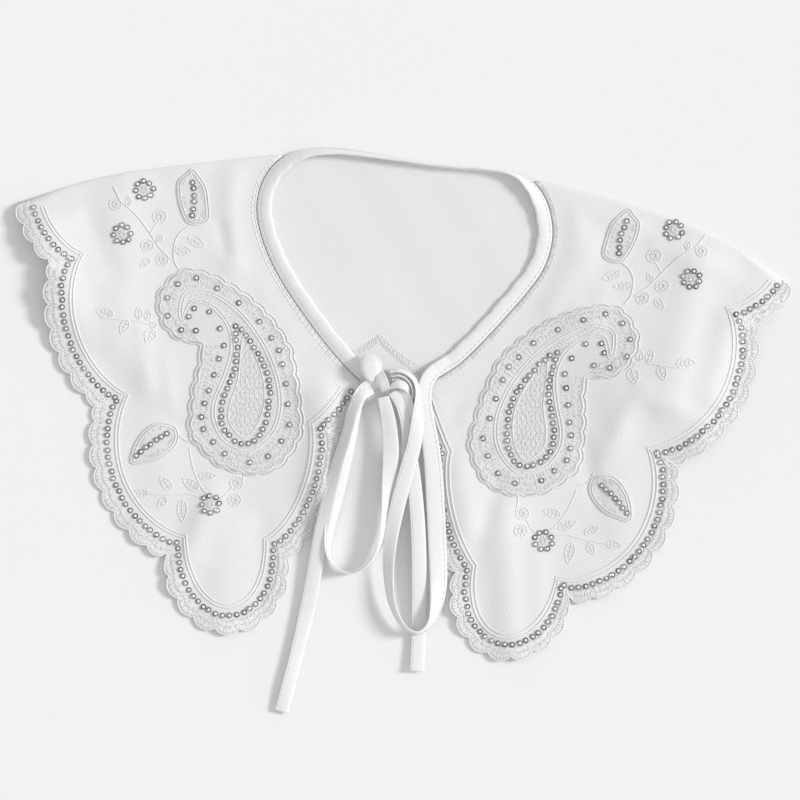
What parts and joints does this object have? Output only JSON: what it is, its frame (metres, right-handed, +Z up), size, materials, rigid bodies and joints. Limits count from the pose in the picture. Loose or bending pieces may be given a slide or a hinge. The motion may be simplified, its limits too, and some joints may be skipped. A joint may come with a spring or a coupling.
{
  "type": "embroidered collar",
  "caption": "Detachable net collar with a lobed, scalloped hem, paisley embroidery, a satin neck binding and bow ties, laid flat with folded shoulders.",
  "frame": {"origin": "middle of the underside, on the surface that the collar lies on", "axes": "+X towards the right front's shoulder tip, +Y towards the back of the neck, +Z up"},
  "size_m": [0.4049, 0.2937, 0.0114],
  "materials": {
    "net": "fine white polyester net, matte",
    "thread": "white rayon embroidery thread, soft sheen",
    "satin": "white satin bias strip, smooth, soft sheen",
    "sequin": "small cupped silver-white sequins, glossy"
  },
  "bodies": {
    "root": {"back_panel": "net", "front_left_panel": "net", "front_right_panel": "net", "hem_cord_left": "thread", "hem_cord_right": "thread", "paisley_left": "thread", "paisley_right": "thread", "upper_leaf_left": "thread", "upper_leaf_right": "thread", "lower_leaf_left": "thread", "lower_leaf_right": "thread", "neck_binding": "satin", "knot": "satin", "tail_left": "satin", "tail_right": "satin", "loop_left": "satin", "loop_right": "satin"}
  },
  "joints": []
}
